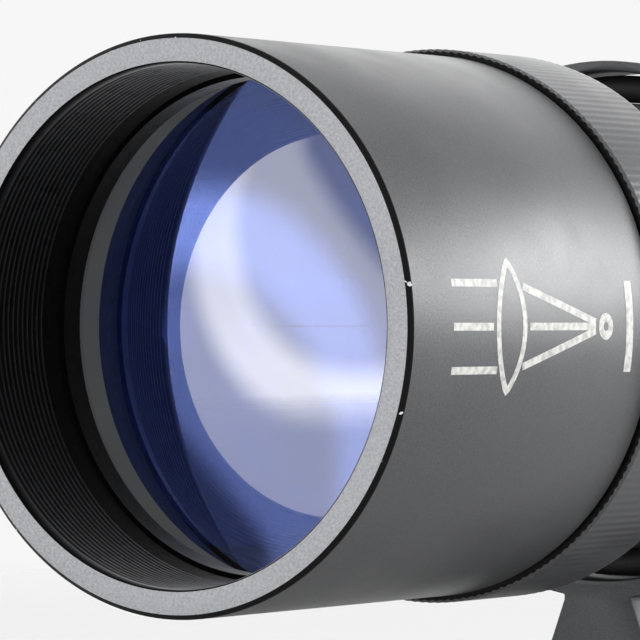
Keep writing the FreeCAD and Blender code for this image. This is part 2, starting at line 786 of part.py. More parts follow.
def check_document():
    """Stops before anything is written if a feature failed or a shape is empty or broken."""
    for item in document.Objects:
        if {"Invalid", "Error"} & set(item.State):
            raise RuntimeError(f"{item.Name} is {item.State}")
    for item in subparts:
        if item.Shape.isNull() or not item.Shape.isValid():
            raise RuntimeError(f"{item.Label} has no valid shape")


def export_subparts():
    os.makedirs("parts", exist_ok=True)
    for item in subparts:
        item.Shape.exportStep(f"parts/{item.Label}.step")
        print(f"{item.Label:28s} {item.Shape.Volume / 1000:9.3f} cm3  solids {len(item.Shape.Solids)}")


fill_sheet()
make_front_barrel()
make_lens_retaining_ring()
make_lenses()
make_lock_ring()
make_main_tube()
make_tube_baffle()
make_o_ring()
make_front_ring()
make_rear_ring()
make_dovetail_foot()
make_foot_screws()
make_adjusting_screws()
make_plunger()
make_plunger_spring()
make_rear_cell()
make_guide_screw()
make_ring_retainer_screws()
make_focus_ring()
make_draw_tube()
make_camera_holder()
make_compression_ring()
make_holder_screws()
document.recompute()
check_document()
export_subparts()
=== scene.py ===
"""Looks of the guide scope: materials, detailed pieces, studio light and the camera."""

import bpy
import math
import numpy as np
from mathutils import Matrix, Vector


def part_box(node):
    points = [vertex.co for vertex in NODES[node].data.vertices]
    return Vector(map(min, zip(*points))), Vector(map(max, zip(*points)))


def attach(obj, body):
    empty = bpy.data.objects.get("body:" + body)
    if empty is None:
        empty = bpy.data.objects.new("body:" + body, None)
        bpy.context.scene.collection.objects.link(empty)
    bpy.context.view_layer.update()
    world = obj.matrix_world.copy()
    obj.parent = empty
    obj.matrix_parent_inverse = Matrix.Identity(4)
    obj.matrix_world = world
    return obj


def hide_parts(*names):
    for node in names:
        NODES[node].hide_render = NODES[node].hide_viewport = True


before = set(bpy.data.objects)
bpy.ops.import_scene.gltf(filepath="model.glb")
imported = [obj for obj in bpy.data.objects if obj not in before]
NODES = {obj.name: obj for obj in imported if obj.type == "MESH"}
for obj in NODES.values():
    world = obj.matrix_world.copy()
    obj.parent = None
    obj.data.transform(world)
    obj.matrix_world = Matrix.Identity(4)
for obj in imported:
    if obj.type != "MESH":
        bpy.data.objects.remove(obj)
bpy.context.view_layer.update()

MM = 0.001
TAU = 2 * math.pi

# Places that the pieces are built from, all read from the CAD frame.
BARREL_LOW, BARREL_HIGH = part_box("front_barrel")
FRONT = BARREL_LOW.y
AXIS_Z = (BARREL_LOW.z + BARREL_HIGH.z) / 2
BARREL_RADIUS = (BARREL_HIGH.x - BARREL_LOW.x) / 2
BARREL_BACK = BARREL_HIGH.y


# ------------------------------------------------------------------ node helpers

class NodeTree:
    """Short calls that add the nodes of a material or of the surroundings."""

    def __init__(self, owner, main, place):
        owner.use_nodes = True
        self.tree = owner.node_tree
        self.main = self.tree.nodes[main]
        self.place = self.add("ShaderNodeTexCoord").outputs[place]

    def add(self, kind, **inputs):
        node = self.tree.nodes.new(kind)
        for key, value in inputs.items():
            self.feed(node.inputs[key.replace("_", " ")], value)
        return node

    def feed(self, socket, value):
        if isinstance(value, bpy.types.NodeSocket):
            self.tree.links.new(value, socket)
        else:
            socket.default_value = value

    def noise(self, scale, detail=2.0, roughness=0.5, stretch=(1, 1, 1)):
        """Noise whose grain is about 1 / scale metres across."""
        mapping = self.add("ShaderNodeMapping", Vector=self.place, Scale=stretch)
        node = self.add("ShaderNodeTexNoise", Vector=mapping.outputs[0], Scale=scale,
                        Detail=detail, Roughness=roughness)
        return node.outputs["Fac"]

    def ramp(self, value, low, high, bottom=0.0, top=1.0, smooth=False):
        node = self.add("ShaderNodeMapRange", Value=value)
        node.interpolation_type = "SMOOTHSTEP" if smooth else "LINEAR"
        node.inputs["From Min"].default_value = low
        node.inputs["From Max"].default_value = high
        node.inputs["To Min"].default_value = bottom
        node.inputs["To Max"].default_value = top
        return node.outputs["Result"]

    def math(self, operation, first, second=0.0):
        node = self.add("ShaderNodeMath")
        node.operation = operation
        self.feed(node.inputs[0], first)
        self.feed(node.inputs[1], second)
        return node.outputs[0]

    def mix(self, share, first, second):
        node = self.add("ShaderNodeMix")
        node.data_type = "RGBA"
        self.feed(node.inputs["Factor"], share)
        self.feed(node.inputs[6], first)
        self.feed(node.inputs[7], second)
        return node.outputs[2]

    def window(self, value, middle, half, soft):
        """One within half of the middle, falling to nought over soft."""
        away = self.math("ABSOLUTE", self.math("SUBTRACT", value, middle))
        return self.ramp(away, half, half + soft, 1.0, 0.0, smooth=True)

    def drive(self, socket, value):
        self.tree.links.new(value, self.main.inputs[socket])


class Shader(NodeTree):
    """A material with one Principled shader."""

    def __init__(self, name, **values):
        self.material = bpy.data.materials.new(name)
        super().__init__(self.material, "Principled BSDF", "Object")
        for key, value in values.items():
            self.main.inputs[key.replace("_", " ")].default_value = value

    def bump(self, height, strength, distance):
        node = self.add("ShaderNodeBump", Height=height, Strength=strength, Distance=distance)
        self.tree.links.new(node.outputs[0], self.main.inputs["Normal"])


def grey(level, tint=0.0):
    """A grey of the given linear level, a touch bluer with tint."""
    return (level * (1 - tint), level * (1 - tint / 2), level * (1 + tint), 1.0)


# ------------------------------------------------------------------ materials

# Scales of the noises; a grain is about 1 / scale metres across.
CLOUDS = 90.0
SMEARS = 240.0
WEAR_MARKS = 310.0
BORE_SMEARS = 420.0
NYLON_CLOUDS = 500.0
CHIPS = 900.0
PRINT_WEAR = 1500.0
RUBBER_GRAIN = 2600.0
GROUND_GRAIN = 6000.0
# Heights of the bumps that stay in the materials.
BLAST_HEIGHT = 0.03 * MM
LINE_HEIGHT = 0.02 * MM
SMEAR_HEIGHT = 0.05 * MM
RUBBER_HEIGHT = 0.04 * MM
NYLON_SCATTER = 0.4 * MM


def anodised(name, level, rough, speckle=0.25, grain=5200.0, tint=0.03, bump=0.25, metal=0.55):
    """Bead-blasted, dyed aluminium: fine bright speckle, cloudy sheen, light wear marks."""
    shader = Shader(name, Metallic=metal, Roughness=rough)
    fine = shader.noise(grain, detail=3.0, roughness=0.7)
    cloud = shader.noise(CLOUDS, detail=4.0)
    marks = shader.noise(WEAR_MARKS, detail=6.0, roughness=0.65, stretch=(1, 0.6, 1))
    speckled = shader.mix(shader.ramp(fine, low=0.3, high=0.75),
                          grey(level * (1 - speckle), tint), grey(level * (1 + 1.6 * speckle), tint))
    clouded = shader.mix(shader.ramp(cloud, low=0.35, high=0.7, top=0.16),
                         speckled, grey(level * 1.6, tint))
    worn = shader.mix(shader.ramp(marks, low=0.70, high=0.80, top=0.35),
                      clouded, grey(level * 2.2, tint))
    shader.drive("Base Color", worn)
    shader.drive("Roughness", shader.ramp(cloud, low=0.3, high=0.7,
                                          bottom=rough - 0.05, top=rough + 0.07))
    shader.bump(fine, bump, BLAST_HEIGHT)
    return shader.material


def turned_metal(name, colour, rough, metal=1.0, grooves=9000.0, bump=0.2):
    """Machined metal with fine turning lines across the part's length."""
    shader = Shader(name, Metallic=metal, Roughness=rough)
    lines = shader.noise(grooves, detail=2.0, stretch=(0.02, 1, 0.02))
    smear = shader.noise(SMEARS, detail=5.0)
    darker = tuple(channel * 0.72 for channel in colour[:3]) + (1.0,)
    shader.drive("Base Color", shader.mix(shader.ramp(smear, low=0.35, high=0.7, top=0.7),
                                          colour, darker))
    shader.drive("Roughness", shader.ramp(smear, low=0.3, high=0.7,
                                          bottom=rough - 0.06, top=rough + 0.12))
    shader.bump(lines, bump, LINE_HEIGHT)
    return shader.material


def chipped_black(name):
    """Black rim whose finish is chipped to bright metal in a few tiny spots."""
    shader = Shader(name, Roughness=0.3, Specular_IOR_Level=0.12)
    spots = shader.noise(CHIPS, detail=2.0, roughness=0.4)
    bare = shader.ramp(spots, low=0.735, high=0.75)
    shader.drive("Base Color", shader.mix(bare, grey(0.003), grey(0.75)))
    return shader.material


def flat_black(name, level=0.006, rough=0.55, specular=0.5, sheen=0.0):
    """Blackened inner surface with a faint uneven sheen."""
    shader = Shader(name, Roughness=rough, Specular_IOR_Level=specular, Sheen_Weight=sheen,
                    Sheen_Roughness=0.3)
    smear = shader.noise(BORE_SMEARS, detail=4.0)
    shader.drive("Base Color", shader.mix(smear, grey(level * 0.6), grey(level * 1.5)))
    shader.drive("Roughness", shader.ramp(smear, low=0.3, high=0.7,
                                          bottom=rough - 0.08, top=rough + 0.1))
    shader.bump(smear, strength=0.15, distance=SMEAR_HEIGHT)
    return shader.material


def rubber(name):
    shader = Shader(name, Roughness=0.62)
    fine = shader.noise(RUBBER_GRAIN, detail=3.0)
    shader.drive("Base Color", shader.mix(fine, grey(0.010), grey(0.022)))
    shader.bump(fine, strength=0.3, distance=RUBBER_HEIGHT)
    return shader.material


def nylon(name):
    shader = Shader(name, Roughness=0.38)
    cloud = shader.noise(NYLON_CLOUDS, detail=3.0)
    shader.drive("Base Color", shader.mix(cloud, (0.78, 0.76, 0.70, 1), (0.88, 0.87, 0.82, 1)))
    shader.main.inputs["Subsurface Weight"].default_value = 0.2
    shader.main.inputs["Subsurface Scale"].default_value = NYLON_SCATTER
    return shader.material


def coated_glass(name, tint, share):
    """Optical glass whose coating reflects a share of the light in its own tint."""
    shader = Shader(name, Base_Color=tint, Metallic=share, Roughness=0.0, IOR=1.52,
                    Transmission_Weight=1.0)
    return shader.material


def ground_glass(name, level, tint):
    shader = Shader(name, Roughness=0.8)
    fine = shader.noise(GROUND_GRAIN, detail=3.0, roughness=0.7)
    shader.drive("Base Color", shader.mix(fine, tuple(level * 0.85 * c for c in tint) + (1.0,),
                                          tuple(level * 1.15 * c for c in tint) + (1.0,)))
    return shader.material


def paint_white(name):
    shader = Shader(name, Roughness=0.5)
    wear = shader.noise(PRINT_WEAR, detail=4.0)
    shader.drive("Base Color", shader.mix(shader.ramp(wear, low=0.42, high=0.62),
                                          (0.62, 0.62, 0.59, 1), (0.40, 0.40, 0.39, 1)))
    return shader.material


# Levels are linear albedo; the second number of each is the roughness.
BARREL = anodised("anodised_barrel", 0.086, 0.36)
KNURL = anodised("anodised_knurl", 0.040, 0.42, speckle=0.2)
TUBE = anodised("anodised_tube", 0.062, 0.40)
BRACKET = anodised("anodised_bracket", 0.085, 0.40)
FACE = anodised("anodised_face", 0.40, 0.55, speckle=0.22, grain=3600.0, metal=0.3)
RIM_BLACK = chipped_black("rim_black")
# Near-black flat finish, used as painted shade on the lock ring's front face, which lies in shadow.
PAINTED_SHADE_BLACK = flat_black("painted_shade_black", 0.003, 0.3, specular=0.12)
BORE = flat_black("bore_black", 0.0010, 0.30, specular=0.03, sheen=1.0)
BAFFLE = flat_black("baffle_flat_black", 0.003, 0.8)
RUBBER = rubber("rubber")
NYLON = nylon("nylon")
BRASS = turned_metal("brass_turned", (0.62, 0.42, 0.15, 1), 0.3)
STEEL = turned_metal("steel_turned", (0.56, 0.56, 0.58, 1), 0.28)
NICKEL = turned_metal("nickel_plate", (0.40, 0.39, 0.37, 1), 0.27)
BLACK_STEEL = turned_metal("black_oxide", (0.03, 0.03, 0.033, 1), 0.35, metal=0.8)
SPRING = turned_metal("spring_wire", (0.45, 0.45, 0.47, 1), 0.3)
GLASS_FRONT = coated_glass("glass_front_coating", (1.0, 0.97, 0.86, 1), 0.20)
GLASS_BACK = coated_glass("glass_back_coating", (0.20, 0.31, 1.0, 1), 0.45)
GROUND_CROWN = ground_glass("ground_edge_crown", 0.80, (1, 1, 0.92))
GROUND_FLINT = ground_glass("ground_edge_flint", 0.92, (1, 1, 0.90))
PRINT = paint_white("white_print")

# Pieces that keep their CAD mesh; every other piece is turned on a lathe below.
NODE_MATERIALS = {
    "lens_retaining_ring": BORE,
    "tube_baffle": BAFFLE,
    "tube_o_ring": RUBBER,
    "front_ring": BRACKET,
    "rear_ring": BRACKET,
    "dovetail_foot": BRACKET,
    "foot_screws": BLACK_STEEL,
    "left_screw_tip": NYLON,
    "right_screw_tip": NYLON,
    "plunger_pin": NICKEL,
    "plunger_spring": SPRING,
    "rear_cell": TUBE,
    "guide_screw": BLACK_STEEL,
    "ring_retainer_screws": BLACK_STEEL,
    "compression_ring": BRASS,
}
SMOOTH_ANGLE = math.radians(32)
WELD_REACH = 0.002 * MM
FLAT_ANGLE = math.radians(0.6)
ROUNDING_STEPS = 2
# Radius of the rounded edges, in millimetres.
EDGE_ROUNDING = {
    "front_ring": 0.3, "rear_ring": 0.35, "dovetail_foot": 0.4, "foot_screws": 0.25,
    "compression_ring": 0.15, "plunger_pin": 0.15,
}


def round_edges(piece, radius):
    """Joins the mesh's triangles into flat faces and rounds the edges between them."""
    weld = piece.modifiers.new("joined", "WELD")
    weld.merge_threshold = WELD_REACH
    flat = piece.modifiers.new("flat_faces", "DECIMATE")
    flat.decimate_type = "DISSOLVE"
    flat.angle_limit = FLAT_ANGLE
    bevel = piece.modifiers.new("rounded", "BEVEL")
    bevel.width = radius
    bevel.segments = ROUNDING_STEPS
    bevel.limit_method = "ANGLE"
    bevel.angle_limit = SMOOTH_ANGLE
    bevel.harden_normals = True


def finish_cad_nodes():
    """Materials, soft shading and slightly rounded edges of the pieces kept from the CAD."""
    for name, material in NODE_MATERIALS.items():
        mesh = NODES[name].data
        mesh.materials.clear()
        mesh.materials.append(material)
        mesh.shade_smooth()
        mesh.set_sharp_from_angle(angle=SMOOTH_ANGLE)
        if name in EDGE_ROUNDING:
            round_edges(NODES[name], EDGE_ROUNDING[name] * MM)


# ------------------------------------------------------------------ mesh helpers

def make_object(name, points, faces, materials, face_slots=None, smooth=SMOOTH_ANGLE):
    mesh = bpy.data.meshes.new(name)
    mesh.from_pydata([tuple(point) for point in points], [], faces)
    for material in materials:
        mesh.materials.append(material)
    if face_slots is not None:
        mesh.polygons.foreach_set("material_index", face_slots)
    mesh.validate()
    mesh.shade_smooth()
    mesh.set_sharp_from_angle(angle=smooth)
    piece = bpy.data.objects.new(name, mesh)
    bpy.context.scene.collection.objects.link(piece)
    return piece


def optical_frame():
    """Local X, Y and Z of a lathe whose Z is the optical axis and starts at the front face."""
    return Matrix(((1, 0, 0, 0), (0, 0, 1, FRONT), (0, 1, 0, AXIS_Z), (0, 0, 0, 1)))


def lathe(name, profile, materials, slots=None, place=None, segments=256, radius_change=None,
          closed=True):
    """Revolves (radius, depth) points; slots gives a material for each span of the profile.

    radius_change(row, angle) may return how far a point of that row moves outwards.
    """
    place = place or optical_frame()
    profile = [tuple(point) for point in profile]
    rows = len(profile)
    angles = np.arange(segments) * TAU / segments
    points = []
    for row, (radius, depth) in enumerate(profile):
        ring = np.full(segments, float(radius))
        if radius_change is not None:
            ring = ring + radius_change(row, angles)
        points.append(np.stack([ring * np.cos(angles), ring * np.sin(angles),
                                np.full(segments, float(depth))], axis=1))
    points = np.concatenate(points)
    turn = np.array(place.to_3x3())
    points = points @ turn.T + np.array(place.translation)
    faces = []
    face_slots = []
    spans = rows if closed else rows - 1
    flip = np.linalg.det(turn) < 0
    for row in range(spans):
        following = (row + 1) % rows
        for i in range(segments):
            k = (i + 1) % segments
            face = (row * segments + i, row * segments + k,
                    following * segments + k, following * segments + i)
            faces.append(face[::-1] if flip else face)
            face_slots.append(slots[row] if slots else 0)
    return make_object(name, points, faces, materials, face_slots)


# Radius of the tiny hole that stands for a turned piece's centre.
CENTRE = 0.02 * MM


def outline(points):
    """Profile points that are given in millimetres, in metres."""
    return [(radius * MM, depth * MM) for radius, depth in points]


def edge_points(radius, depth, steps):
    """Profile points round a corner; each step is (inwards, along) from it, in millimetres."""
    return [(radius - inwards * MM, depth + along * MM) for inwards, along in steps]


# ------------------------------------------------------------------ front barrel

LIP_RADIUS = 25.6 * MM
LIP_ROUNDING = 0.12 * MM
FACE_RADIUS = BARREL_RADIUS - 0.43 * MM
FACE_CHAMFER = 0.37 * MM
BARREL_LENGTH = BARREL_BACK - FRONT
BARREL_REAR_EDGE = ((0.0, -0.35), (0.08, -0.12), (0.3, 0.0))
BARREL_SEGMENTS = 360
THREAD_FIRST = 1.2 * MM
THREAD_PITCH = 0.75 * MM
THREAD_TURNS = 14
THREAD_DEPTH = 0.07 * MM
THREAD_LAND = 0.12 * THREAD_PITCH
THREAD_FLOOR = (0.45 * THREAD_PITCH, 0.55 * THREAD_PITCH)
SEAT_DEPTH = 26.8 * MM
SEAT_RADIUS = 24.4 * MM
COLLAR_BORE = 27.0 * MM
COLLAR_START = 29.25 * MM


def build_front_barrel():
    """Turned barrel: bright face, black chamfered rim, threaded bore and lens seat."""
    face, bore, rim, outside = range(4)
    edge = LIP_ROUNDING
    profile = [(LIP_RADIUS, edge * 1.5), (LIP_RADIUS + edge * 0.6, edge * 0.5),
               (LIP_RADIUS + edge * 1.6, 0.0), (FACE_RADIUS - edge / 2, 0.0),
               (FACE_RADIUS, edge / 5), (BARREL_RADIUS - edge / 3, FACE_CHAMFER - edge / 2),
               (BARREL_RADIUS, FACE_CHAMFER + edge / 2)]
    profile += edge_points(BARREL_RADIUS, BARREL_LENGTH, BARREL_REAR_EDGE)
    profile += [(COLLAR_BORE, BARREL_LENGTH), (COLLAR_BORE, COLLAR_START),
                (SEAT_RADIUS, COLLAR_START), (SEAT_RADIUS, SEAT_DEPTH), (LIP_RADIUS, SEAT_DEPTH)]
    slots = [bore] * 2 + [face] + [rim] * 3 + [outside] * 4
    for turn in reversed(range(THREAD_TURNS)):
        start = THREAD_FIRST + turn * THREAD_PITCH
        profile += [(LIP_RADIUS, start + THREAD_PITCH - THREAD_LAND),
                    (LIP_RADIUS + THREAD_DEPTH, start + THREAD_FLOOR[1]),
                    (LIP_RADIUS + THREAD_DEPTH, start + THREAD_FLOOR[0]),
                    (LIP_RADIUS, start + THREAD_LAND)]
    slots += [bore] * (len(profile) - len(slots))
    piece = lathe("front_barrel_turned", profile, [FACE, BORE, RIM_BLACK, BARREL], slots,
                  segments=BARREL_SEGMENTS)
    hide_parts("front_barrel")
    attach(piece, "barrel")


# ------------------------------------------------------------------ lens

CROWN_LOW, CROWN_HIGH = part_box("crown_lens")
FLINT_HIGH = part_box("flint_lens")[1]
LENS_RADIUS = (CROWN_HIGH.x - CROWN_LOW.x) / 2
FRONT_CURVE = 104.0 * MM
BACK_CURVE = 450.0 * MM
CROWN_EDGE = 2.9 * MM
LENS_RINGS = 28
LENS_SEGMENTS = 180


def dome(radius, curve):
    """Height of a spherical face's vertex over the plane of a circle on it."""
    return curve - math.sqrt(curve ** 2 - radius ** 2)


def build_doublet():
    """The cemented pair as one glass body: coated faces and two ground edges."""
    front, back, crown_edge, flint_edge = range(4)
    front_vertex = CROWN_LOW.y - FRONT
    back_vertex = FLINT_HIGH.y - FRONT
    joint = front_vertex + dome(LENS_RADIUS, FRONT_CURVE) + CROWN_EDGE
    radii = [CENTRE + (LENS_RADIUS - CENTRE) * i / LENS_RINGS for i in range(LENS_RINGS + 1)]
    profile = [(radius, front_vertex + dome(radius, FRONT_CURVE)) for radius in radii]
    profile.append((LENS_RADIUS, joint))
    profile += [(radius, back_vertex - dome(radius, BACK_CURVE)) for radius in reversed(radii)]
    slots = [front] * LENS_RINGS + [crown_edge, flint_edge] + [back] * (LENS_RINGS + 1)
    piece = lathe("cemented_doublet", profile,
                  [GLASS_FRONT, GLASS_BACK, GROUND_CROWN, GROUND_FLINT], slots,
                  segments=LENS_SEGMENTS)
    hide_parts("crown_lens", "flint_lens")
    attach(piece, "objective")


# ------------------------------------------------------------------ lock ring

LOCK_TEETH = 184
LOCK_TOOTH = 0.16 * MM
LOCK_TOOTH_SHARES = {1: 0.8, 2: 1.0, 3: 0.35, 4: 0.3, 5: 0.15}
LOCK_FRONT_EDGE = ((0.55, 0.0), (0.2, 0.1), (0.0, 0.4))
LOCK_BACK_EDGE = ((0.0, -2.6), (0.1, -1.9), (0.45, -0.9), (1.0, -0.2), (1.5, 0.0))
POINTS_PER_TOOTH = 4


def knurl(depth, teeth, shares):
    """Straight teeth, cut into each listed row of a profile by its share of the depth."""
    def change(row, angles):
        along_tooth = (angles * teeth / TAU) % 1.0
        wave = np.abs(along_tooth - 0.5) * 2
        cut = np.clip(wave * 1.5 - 0.25, 0, 1)
        return -depth * cut * shares.get(row, 0.0)
    return change


def build_lock_ring():
    """Lock ring with a fine knurl that fades out over its front edge; its front face is painted
    near-black as painted shade.
    """
    metal, dark = range(2)
    low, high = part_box("lock_ring")
    radius = (high.x - low.x) / 2
    start = low.y - FRONT
    end = high.y - FRONT
    profile = [(COLLAR_BORE, start)] + edge_points(radius, start, LOCK_FRONT_EDGE)
    profile += edge_points(radius, end, LOCK_BACK_EDGE) + [(COLLAR_BORE, end)]
    # The front face, up to its rounded edge, takes the near-black painted shade; the last span, the
    # ring's bore, is near-black as well.
    slots = [dark] * 2 + [metal] * 7 + [dark]
    piece = lathe("lock_ring_knurled", profile, [BARREL, PAINTED_SHADE_BLACK], slots,
                  segments=LOCK_TEETH * POINTS_PER_TOOTH,
                  radius_change=knurl(LOCK_TOOTH, LOCK_TEETH, LOCK_TOOTH_SHARES))
    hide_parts("lock_ring")
    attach(piece, "lock_ring")


# ------------------------------------------------------------------ printed mark

PRINT_LIFT = 0.015 * MM
STROKE = 0.75 * MM
MARK_LENS_AT = 17.0 * MM
MARK_LENS_HALF = 6.4 * MM
MARK_LENS_BULGE = 2.3 * MM
RAY_START = 7.0 * MM
RAY_HEIGHT = 4.2 * MM
RAY_GAP = 0.6 * MM
OUTER_RAY_INSET = 1.6 * MM
MIDDLE_RAY_INSET = 2.6 * MM
RAY_LEAVES = 0.93
RAY_ARRIVES = 0.10
FOCUS_AT = 34.0 * MM
FOCUS_GAP = 1.9 * MM
FOCUS_DOT = 0.9 * MM
FOCUS_DOT_STEPS = 24
SENSOR_AT = 38.5 * MM
SENSOR_HALF = 4.6 * MM
SENSOR_STROKE = 1.3 * MM


def stroke(points, width, closed=False):
    """A strip of quads along a line of (depth, height) points, as points and faces."""
    count = len(points)
    line = np.array(points)
    before = np.roll(line, 1, axis=0)
    after = np.roll(line, -1, axis=0)
    if not closed:
        before[0] = line[0]
        after[-1] = line[-1]
    along = after - before
    along /= np.linalg.norm(along, axis=1)[:, None]
    aside = np.stack([-along[:, 1], along[:, 0]], axis=1) * width / 2
    corners = np.concatenate([line - aside, line + aside])
    spans = count if closed else count - 1
    faces = [(i, (i + 1) % count, count + (i + 1) % count, count + i) for i in range(spans)]
    return corners, faces


def segment(start, end, steps=12):
    return [(start[0] + (end[0] - start[0]) * i / steps, start[1] + (end[1] - start[1]) * i / steps)
            for i in range(steps + 1)]


def arc(middle, radius, first, last, steps=32):
    return [(middle[0] + radius * math.cos(first + (last - first) * i / steps),
             middle[1] + radius * math.sin(first + (last - first) * i / steps))
            for i in range(steps + 1)]


def build_printed_mark():
    """A generic ray diagram printed on the barrel's flank: rays, a lens and a focus."""
    curve = (MARK_LENS_HALF ** 2 + MARK_LENS_BULGE ** 2) / (2 * MARK_LENS_BULGE)
    half_turn = math.asin(MARK_LENS_HALF / curve)
    offset = curve - MARK_LENS_BULGE
    lens = arc((MARK_LENS_AT + offset, 0), curve, math.pi + half_turn, math.pi - half_turn)
    lens += arc((MARK_LENS_AT - offset, 0), curve, half_turn, -half_turn)[1:-1]
    strokes = [stroke(lens, STROKE, closed=True)]
    for height in (-RAY_HEIGHT, 0.0, RAY_HEIGHT):
        clear = RAY_GAP + (OUTER_RAY_INSET if height else MIDDLE_RAY_INSET)
        incoming = segment((RAY_START, height), (MARK_LENS_AT - clear, height))
        outgoing = segment((MARK_LENS_AT + clear, height * RAY_LEAVES),
                           (FOCUS_AT - FOCUS_GAP, height * RAY_ARRIVES))
        strokes += [stroke(incoming, STROKE), stroke(outgoing, STROKE)]
    dot = arc((FOCUS_AT, 0), FOCUS_DOT, 0, TAU, FOCUS_DOT_STEPS)[:-1]
    sensor = segment((SENSOR_AT, -SENSOR_HALF), (SENSOR_AT, SENSOR_HALF))
    strokes += [stroke(dot, FOCUS_DOT, closed=True), stroke(sensor, SENSOR_STROKE)]
    radius = BARREL_RADIUS + PRINT_LIFT
    points = []
    faces = []
    for corners, quads in strokes:
        first = len(points)
        for depth, height in corners:
            turn = height / BARREL_RADIUS
            points.append((radius * math.cos(turn), FRONT + depth,
                           AXIS_Z + radius * math.sin(turn)))
        faces += [tuple(first + index for index in quad) for quad in quads]
    piece = make_object("printed_ray_mark", points, faces, [PRINT])
    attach(piece, "barrel")


# ------------------------------------------------------------------ screws and knobs

RUN_OUT_ROWS = 4


def radial_frame(out, depth):
    """A lathe place whose Z points outwards from the optical axis at a depth behind the face."""
    out = Vector(out).normalized()
    along = Vector((0, 1, 0))
    side = out.cross(along)
    origin = Vector((0, FRONT + depth, AXIS_Z))
    return Matrix(((along.x, side.x, out.x, origin.x), (along.y, side.y, out.y, origin.y),
                   (along.z, side.z, out.z, origin.z), (0, 0, 0, 1)))


def spaced(radius, span, step):
    """Points along a straight shaft, close enough to carry a thread."""
    start, end = span
    count = max(2, round((end - start) / step))
    return [(radius, start + (end - start) * i / count) for i in range(count + 1)]


def thread(profile, first, last, pitch, depth):
    """A V thread cut as a helix into the rows from first to last of a profile."""
    def change(row, angles):
        if not first <= row <= last:
            return np.zeros_like(angles)
        along_pitch = (profile[row][1] / pitch - angles / TAU) % 1.0
        run_out = min(1.0, (row - first) / RUN_OUT_ROWS, (last - row) / RUN_OUT_ROWS)
        return -depth * run_out * (1 - np.abs(along_pitch - 0.5) * 2)
    return change


def together(*changes):
    def change(row, angles):
        return sum(each(row, angles) for each in changes)
    return change


def knob_rows(span, radius, edge, dish):
    """Rim of a thumbscrew head with rounded edges, and its end dished round a low hub."""
    start, end = span
    bend = edge * 0.3
    rim_inside, floor_outside, hub_foot, hub_top = (radius * share
                                                    for share in (0.74, 0.70, 0.26, 0.22))
    hub_end = end - dish * 0.4
    return [(radius - edge, start), (radius - bend, start + bend), (radius, start + edge),
            (radius, end - edge), (radius - bend, end - bend), (radius - edge, end),
            (rim_inside, end), (floor_outside, end - dish), (hub_foot, end - dish),
            (hub_top, hub_end), (CENTRE, hub_end)]


def rim_teeth(first):
    """Tooth shares of a head whose knob_rows start at the row called first."""
    return {first + 1: 0.5, first + 2: 1.0, first + 3: 1.0, first + 4: 0.5}


# Outlines of the radial pieces are (radius, distance from the optical axis), in millimetres.
RING_MIDDLE = 132.0 * MM
SCREW_TIP = ((0.02, 28.3), (1.9, 28.3))
SCREW_RADIUS = 2.4 * MM
SCREW_THREAD = (28.8 * MM, 40.1 * MM)
SCREW_ROW_STEP = 0.1 * MM
SCREW_PITCH = 0.8 * MM
SCREW_THREAD_DEPTH = 0.3 * MM
SCREW_NECK = ((2.4, 40.5), (3.1, 40.5), (3.4, 40.8), (3.4, 42.0), (3.8, 42.3))
SCREW_HEAD = (42.3 * MM, 48.5 * MM)
SCREW_HEAD_RADIUS = 5.8 * MM
SCREW_HEAD_EDGE = 0.6 * MM
SCREW_HEAD_DISH = 0.7 * MM
SCREW_TEETH = 44
SCREW_TOOTH = 0.45 * MM
SCREW_SEGMENTS = 240


def build_adjusting_screw(side, sign):
    """Thumbscrew: threaded shaft, turned neck and a knurled head."""
    black, steel = range(2)
    shaft = spaced(SCREW_RADIUS, SCREW_THREAD, SCREW_ROW_STEP)
    profile = outline(SCREW_TIP) + shaft
    shaft_first = len(SCREW_TIP)
    shaft_last = len(profile) - 1
    profile += outline(SCREW_NECK)
    head_first = len(profile)
    profile += knob_rows(SCREW_HEAD, SCREW_HEAD_RADIUS, SCREW_HEAD_EDGE, SCREW_HEAD_DISH)
    slots = [steel] * (shaft_last + 1) + [black] * (len(profile) - shaft_last - 1)
    slots[-1] = steel
    piece = lathe(f"{side}_adjusting_thumbscrew", profile, [KNURL, BLACK_STEEL], slots,
                  radial_frame((sign, 0, -1), RING_MIDDLE), SCREW_SEGMENTS,
                  together(thread(profile, shaft_first, shaft_last, SCREW_PITCH,
                                  SCREW_THREAD_DEPTH),
                           knurl(SCREW_TOOTH, SCREW_TEETH, rim_teeth(head_first))))
    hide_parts(f"{side}_adjusting_screw")
    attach(piece, f"{side}_screw")


CLAMP_AT = 197.0 * MM
CLAMP_TIP = ((0.02, 17.3), (1.65, 17.3))
CLAMP_RADIUS = 1.95 * MM
CLAMP_THREAD = (17.7 * MM, 26.2 * MM)
CLAMP_ROW_STEP = 0.085 * MM
CLAMP_PITCH = 0.7 * MM
CLAMP_THREAD_DEPTH = 0.26 * MM
CLAMP_END = ((1.9, 26.6), (0.02, 26.6))
CLAMP_SHANK_SEGMENTS = 120
CLAMP_NECK = ((0.02, 26.9), (2.0, 26.9), (2.0, 22.6), (2.8, 22.6), (3.0, 22.8), (3.0, 23.6),
              (3.3, 23.8))
CLAMP_HEAD = (23.8 * MM, 30.6 * MM)
CLAMP_HEAD_RADIUS = 4.6 * MM
CLAMP_HEAD_EDGE = 0.5 * MM
CLAMP_HEAD_DISH = 0.6 * MM
CLAMP_TEETH = 36
CLAMP_TOOTH = 0.38 * MM
CLAMP_KNOB_SEGMENTS = 180


